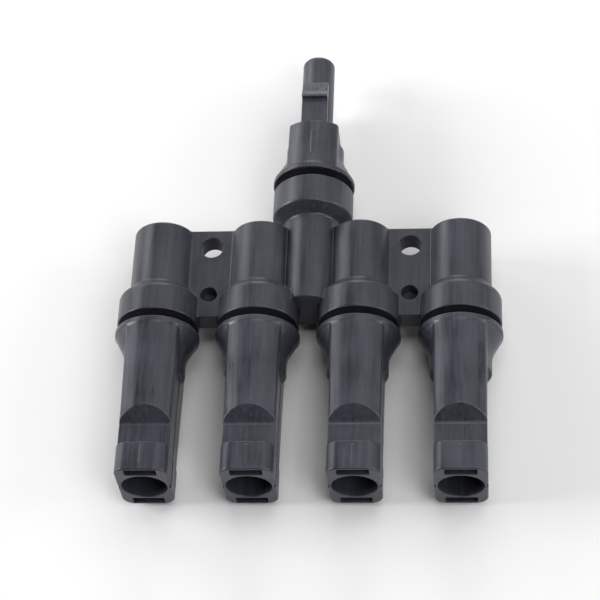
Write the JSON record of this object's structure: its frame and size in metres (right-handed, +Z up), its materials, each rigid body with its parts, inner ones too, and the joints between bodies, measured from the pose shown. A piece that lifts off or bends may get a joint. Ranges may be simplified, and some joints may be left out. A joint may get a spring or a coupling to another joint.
{
  "type": "solar cable branch connector",
  "caption": "Comb-shaped black connector that joins a row of parallel pin couplers to a latching socket coupler, with seals, inner contacts and mounting holes.",
  "frame": {"origin": "middle of the footprint, on the surface the connector lies on", "axes": "+X across the row of couplers, +Y from the branch couplers to the trunk coupler, +Z up"},
  "size_m": [0.094, 0.1228, 0.0205],
  "materials": {
    "black_plastic": "satin moulded plastic",
    "seal_rubber": "matt",
    "potting": "smooth cast resin",
    "copper": "bare copper",
    "tinned_brass": "tin plated",
    "spring_steel": "bright"
  },
  "bodies": {
    "housing": {"body_housing": "black_plastic", "busbar_cover": "black_plastic", "potting_resin": "potting", "busbar": "copper", "trunk_conductor": "copper", "branch_shell_1": "black_plastic", "pin_contact_1": "tinned_brass", "contact_clip_1": "spring_steel", "branch_gasket_1": "seal_rubber", "branch_shell_2": "black_plastic", "pin_contact_2": "tinned_brass", "contact_clip_2": "spring_steel", "branch_gasket_2": "seal_rubber", "branch_shell_3": "black_plastic", "pin_contact_3": "tinned_brass", "contact_clip_3": "spring_steel", "branch_gasket_3": "seal_rubber", "branch_shell_4": "black_plastic", "pin_contact_4": "tinned_brass", "contact_clip_4": "spring_steel", "branch_gasket_4": "seal_rubber", "trunk_housing": "black_plastic", "trunk_gasket": "seal_rubber", "probe_o_ring": "seal_rubber", "socket_contact": "tinned_brass", "contact_spring_band": "spring_steel", "trunk_contact_clip": "spring_steel"},
    "latch_upper": {"latch_arm_upper": "black_plastic"},
    "latch_lower": {"latch_arm_lower": "black_plastic"}
  },
  "joints": [
    {"name": "latch_upper_flex", "type": "hinge", "parent": "housing", "child": "latch_upper", "pos_m": [0, 0.0343, 0.01715], "axis": [-1, 0, 0], "range_deg": [0, 5.5], "stiffness_Nm_per_rad": 0.05},
    {"name": "latch_lower_flex", "type": "hinge", "parent": "housing", "child": "latch_lower", "pos_m": [0, 0.0343, 0.00335], "axis": [1, 0, 0], "range_deg": [0, 5.5], "stiffness_Nm_per_rad": 0.05}
  ]
}
